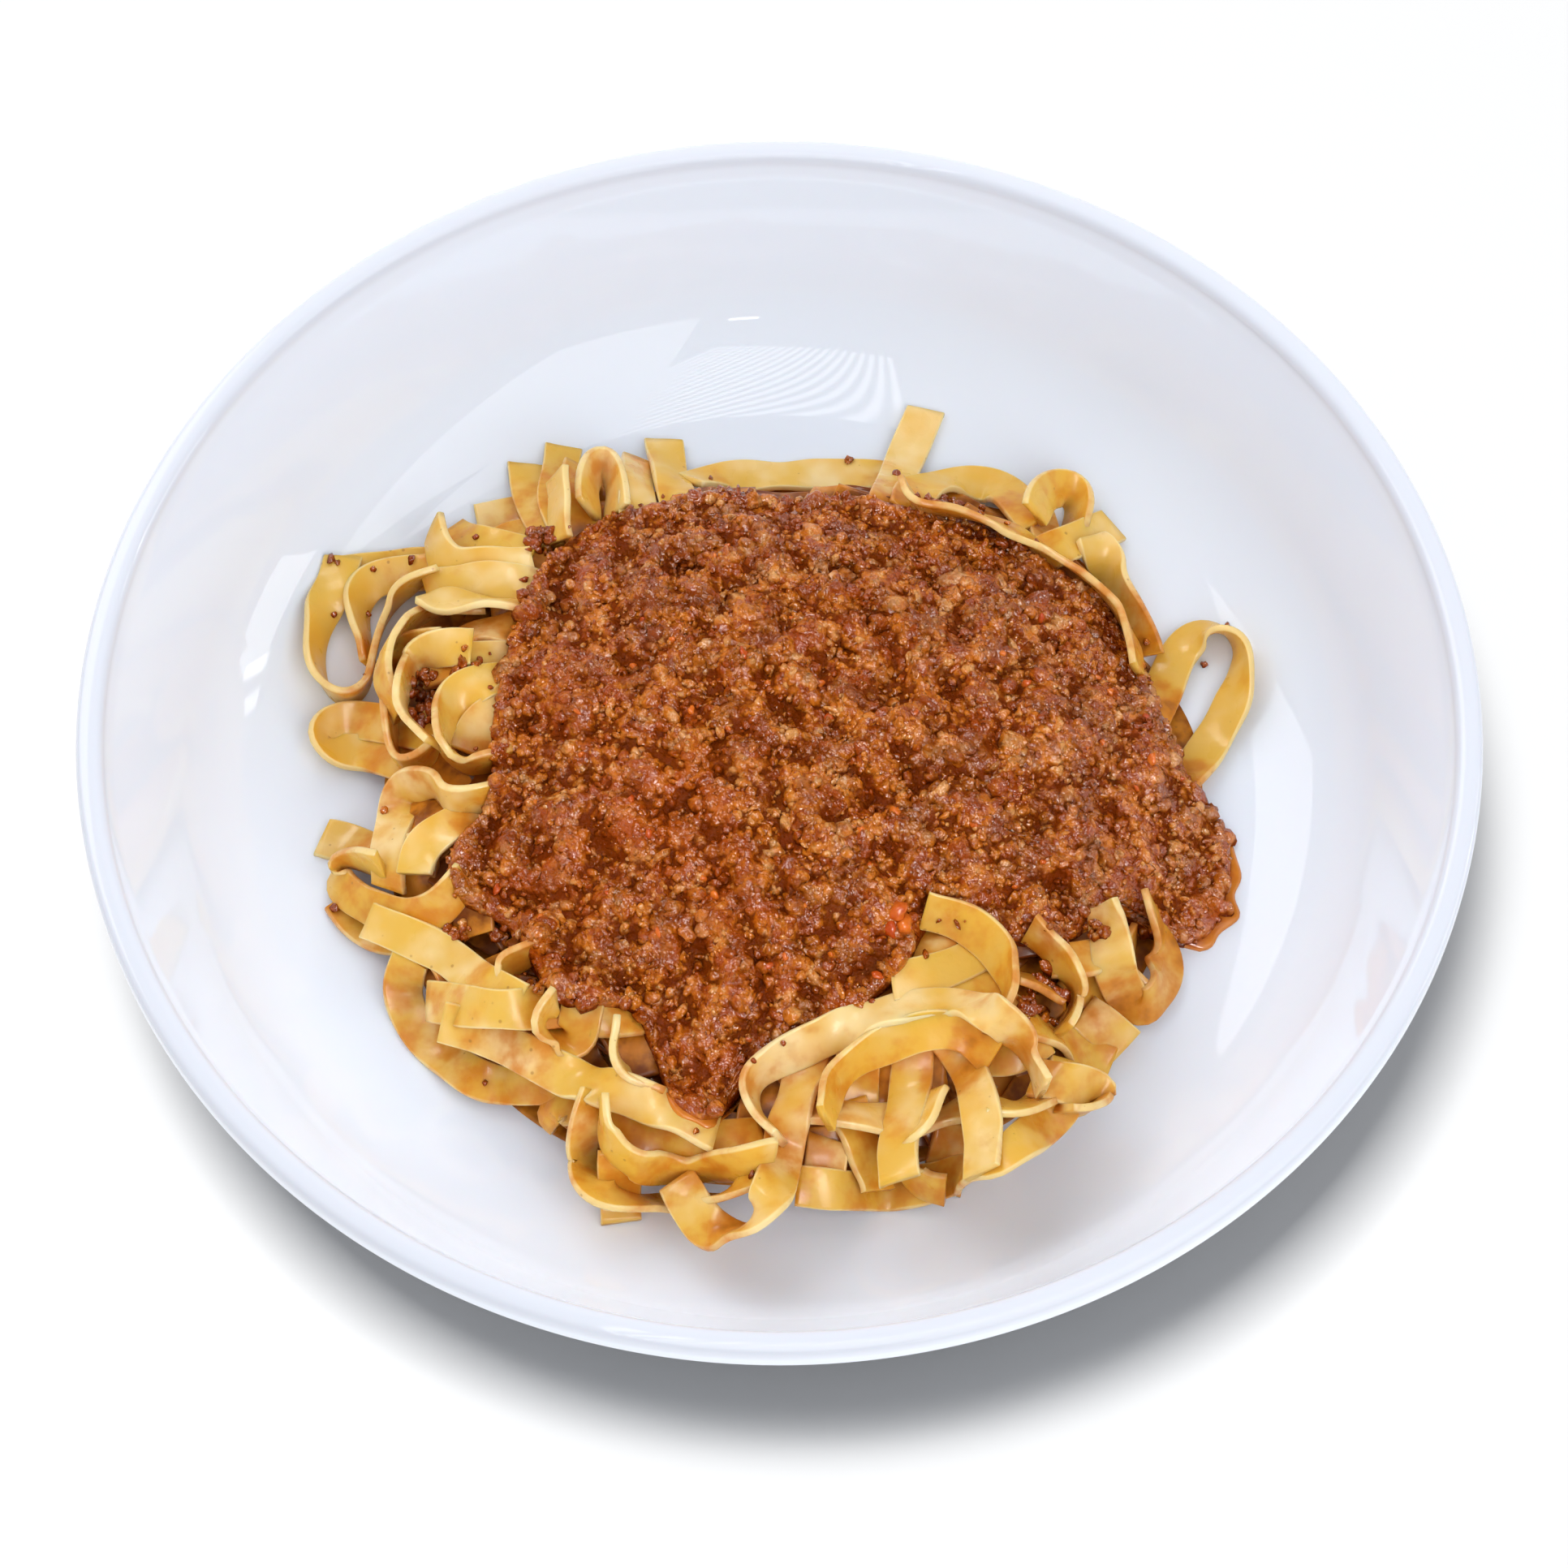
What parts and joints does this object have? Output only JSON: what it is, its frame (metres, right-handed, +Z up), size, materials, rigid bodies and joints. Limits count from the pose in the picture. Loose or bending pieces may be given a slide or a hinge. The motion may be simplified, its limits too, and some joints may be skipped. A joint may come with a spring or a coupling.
{
  "type": "bowl of fettuccine bolognese",
  "caption": "Wide round white bowl with a flat floor and a rounded lip, holding a loose heap of flat ribbon pasta topped with minced meat sauce.",
  "frame": {"origin": "centre of the bowl's foot, on the plane that it stands on", "axes": "+Z up along the bowl's axis, -Y towards the diner, +X to the diner's right"},
  "size_m": [0.25, 0.25, 0.048],
  "materials": {
    "white_glaze": "white glazed stoneware, glossy and smooth",
    "cooked_pasta": "pale yellow cooked egg pasta, lightly oiled, stained orange where sauce has run",
    "meat_sauce": "wet brown-red minced meat and tomato sauce, grainy and glossy"
  },
  "bodies": {
    "root": {"bowl": "white_glaze", "fettuccine": "cooked_pasta", "bolognese_sauce": "meat_sauce"}
  },
  "joints": []
}
